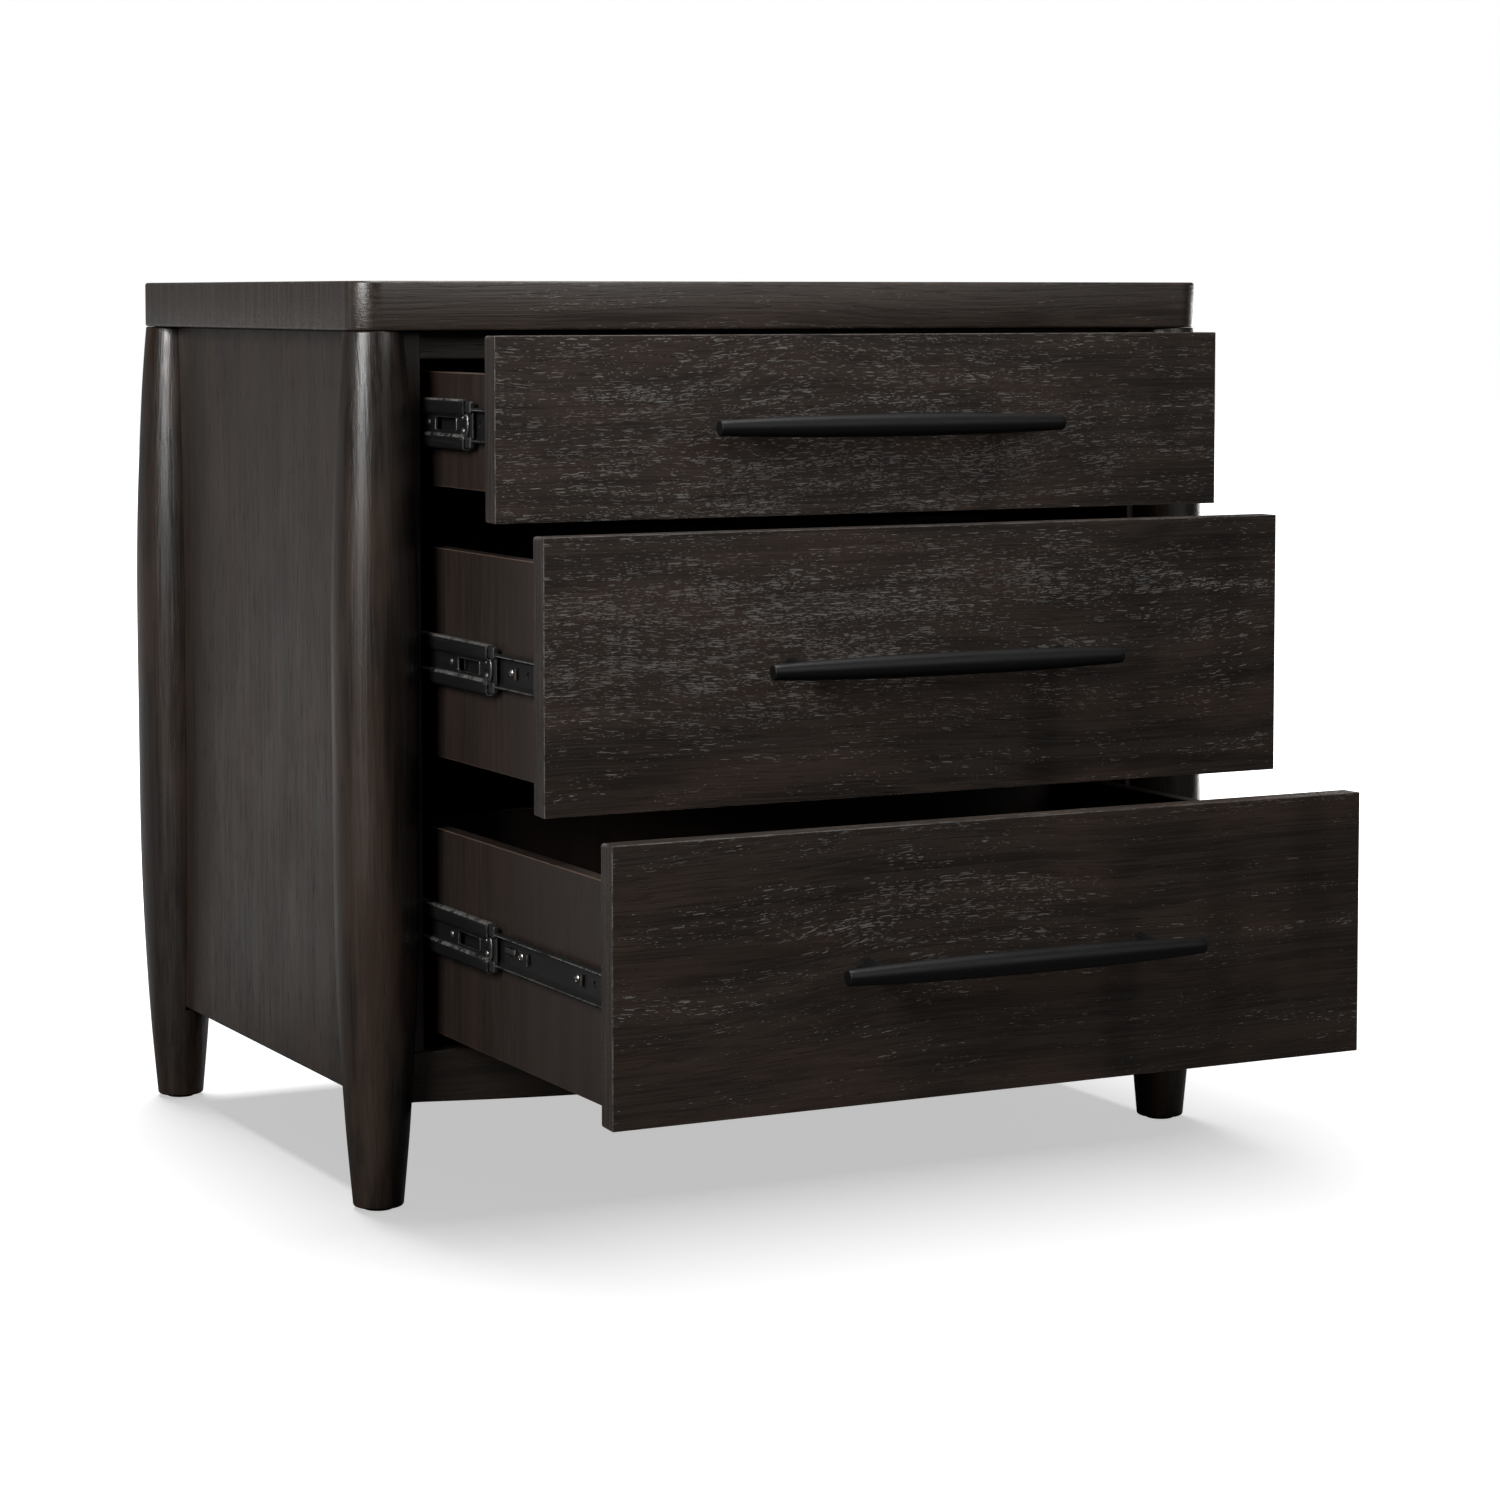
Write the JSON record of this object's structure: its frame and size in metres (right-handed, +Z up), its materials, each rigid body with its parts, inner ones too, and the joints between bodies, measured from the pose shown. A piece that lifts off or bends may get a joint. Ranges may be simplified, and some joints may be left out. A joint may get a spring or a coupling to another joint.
{
  "type": "nightstand",
  "caption": "Dark wood nightstand with turned corner legs and inset drawers that run on full-extension ball-bearing slides behind slim bar pulls.",
  "frame": {"origin": "on the floor, under the centre of the bounding box with the drawers open as at rest", "axes": "+Z up, -Y out of the front with the drawers, +X to the right of someone facing the front"},
  "size_m": [0.7818, 0.8816, 0.711],
  "materials": {
    "case_wood": "satin near-black brown stain",
    "leg_wood": "satin near-black brown stain on turned wood",
    "front_wood": "open-pore near-black brown stain with pale filled pores",
    "box_wood": "satin warm brown lacquer",
    "inner_wood": "matt dark stain",
    "slide_steel": "black zinc on pressed steel",
    "handle_iron": "matt black powder coat",
    "glide_plastic": "matt black"
  },
  "bodies": {
    "case": {"table_top": "case_wood", "front_left_leg": "leg_wood", "front_left_glide": "glide_plastic", "front_right_leg": "leg_wood", "front_right_glide": "glide_plastic", "rear_left_leg": "leg_wood", "rear_left_glide": "glide_plastic", "rear_right_leg": "leg_wood", "rear_right_glide": "glide_plastic", "left_side_panel": "case_wood", "left_stile": "case_wood", "left_rear_batten": "inner_wood", "right_side_panel": "case_wood", "right_stile": "case_wood", "right_rear_batten": "inner_wood", "back_panel": "case_wood", "bottom_panel": "inner_wood", "top_rail": "case_wood", "bottom_rail": "case_wood", "top_left_cabinet_channel": "slide_steel", "top_right_cabinet_channel": "slide_steel", "middle_left_cabinet_channel": "slide_steel", "middle_right_cabinet_channel": "slide_steel", "bottom_left_cabinet_channel": "slide_steel", "bottom_right_cabinet_channel": "slide_steel"},
    "top_drawer": {"top_drawer_front": "front_wood", "top_drawer_box_front": "box_wood", "top_drawer_left_side": "box_wood", "top_drawer_right_side": "box_wood", "top_drawer_back": "box_wood", "top_drawer_bottom": "box_wood", "top_drawer_handle": "handle_iron", "top_left_drawer_channel": "slide_steel", "top_right_drawer_channel": "slide_steel"},
    "top_carriages": {"top_left_slide_carriage": "slide_steel", "top_right_slide_carriage": "slide_steel"},
    "middle_drawer": {"middle_drawer_front": "front_wood", "middle_drawer_box_front": "box_wood", "middle_drawer_left_side": "box_wood", "middle_drawer_right_side": "box_wood", "middle_drawer_back": "box_wood", "middle_drawer_bottom": "box_wood", "middle_drawer_handle": "handle_iron", "middle_left_drawer_channel": "slide_steel", "middle_right_drawer_channel": "slide_steel"},
    "middle_carriages": {"middle_left_slide_carriage": "slide_steel", "middle_right_slide_carriage": "slide_steel"},
    "bottom_drawer": {"bottom_drawer_front": "front_wood", "bottom_drawer_box_front": "box_wood", "bottom_drawer_left_side": "box_wood", "bottom_drawer_right_side": "box_wood", "bottom_drawer_back": "box_wood", "bottom_drawer_bottom": "box_wood", "bottom_drawer_handle": "handle_iron", "bottom_left_drawer_channel": "slide_steel", "bottom_right_drawer_channel": "slide_steel"},
    "bottom_carriages": {"bottom_left_slide_carriage": "slide_steel", "bottom_right_slide_carriage": "slide_steel"}
  },
  "joints": [
    {"name": "top_drawer_slide", "type": "slide", "parent": "case", "child": "top_drawer", "axis": [0, -1, 0], "range_m": [-0.1347, 0.2503]},
    {"name": "top_carriage_slide", "type": "slide", "parent": "case", "child": "top_carriages", "axis": [0, -1, 0], "range_m": [-0.10542, 0.19587]},
    {"name": "middle_drawer_slide", "type": "slide", "parent": "case", "child": "middle_drawer", "axis": [0, -1, 0], "range_m": [-0.2208, 0.1642]},
    {"name": "middle_carriage_slide", "type": "slide", "parent": "case", "child": "middle_carriages", "axis": [0, -1, 0], "range_m": [-0.14722, 0.10949]},
    {"name": "bottom_drawer_slide", "type": "slide", "parent": "case", "child": "bottom_drawer", "axis": [0, -1, 0], "range_m": [-0.3348, 0.0502]},
    {"name": "bottom_carriage_slide", "type": "slide", "parent": "case", "child": "bottom_carriages", "axis": [0, -1, 0], "range_m": [-0.14572, 0.02187]}
  ],
  "couplings": [
    {"joint": "top_carriage_slide", "follows": "top_drawer_slide", "ratio": 0.78248},
    {"joint": "middle_carriage_slide", "follows": "middle_drawer_slide", "ratio": 0.66667},
    {"joint": "bottom_carriage_slide", "follows": "bottom_drawer_slide", "ratio": 0.43518}
  ]
}
